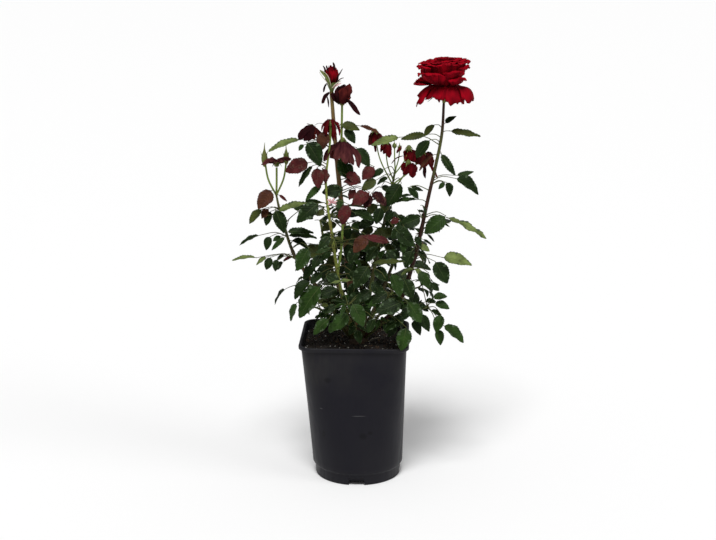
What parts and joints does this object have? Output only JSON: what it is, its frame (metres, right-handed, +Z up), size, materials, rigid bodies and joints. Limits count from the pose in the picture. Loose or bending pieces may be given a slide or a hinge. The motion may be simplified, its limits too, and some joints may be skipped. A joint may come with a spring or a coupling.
{
  "type": "potted red garden rose bush",
  "caption": "Leafy rose bush with long thorny canes, an open red bloom, a bud and faded flowers, standing in a square-topped black nursery pot",
  "frame": {"origin": "the middle of the flat pad under the pot, on the ground", "axes": "+Z up, from the pot to the flowers; +X to the right and -Y to the front as the pot's flat front side is seen"},
  "size_m": [0.4241, 0.3035, 0.742],
  "materials": {
    "pot_plastic": "matt moulded black plastic",
    "potting_mix": "damp bark and peat mix with white grit",
    "cane_bark": "smooth green to brown cane with thorns",
    "foliage": "leathery dark green leaf",
    "red_petals": "velvety deep red petal",
    "faded_petals": "limp dark maroon petal"
  },
  "bodies": {
    "root": {"pot": "pot_plastic", "soil": "potting_mix", "graft_union": "cane_bark", "right_bough": "cane_bark", "left_bough": "cane_bark", "green_bough": "cane_bark", "bud_bough": "cane_bark", "middle_bough": "cane_bark", "back_left_bough": "cane_bark", "back_right_bough": "cane_bark", "back_bough": "cane_bark", "open_bloom": "red_petals", "top_bud": "red_petals", "nodding_bloom": "faded_petals", "wilted_bloom": "faded_petals", "spent_bloom": "faded_petals", "dark_bloom": "faded_petals", "red_faded_bloom": "faded_petals", "red_hanging_bloom": "faded_petals", "maroon_bloom": "faded_petals", "small_maroon_bloom": "faded_petals", "flat_bloom": "faded_petals", "right_foliage": "foliage", "left_foliage": "foliage", "green_foliage": "foliage", "bud_foliage": "foliage", "middle_foliage": "foliage", "back_left_foliage": "foliage", "back_right_foliage": "foliage", "back_foliage": "foliage", "low_front_foliage": "foliage", "low_front_right_foliage": "foliage", "low_right_foliage": "foliage", "low_back_right_foliage": "foliage", "low_back_foliage": "foliage", "low_back_left_foliage": "foliage", "low_left_foliage": "foliage", "low_front_left_foliage": "foliage"}
  },
  "joints": []
}
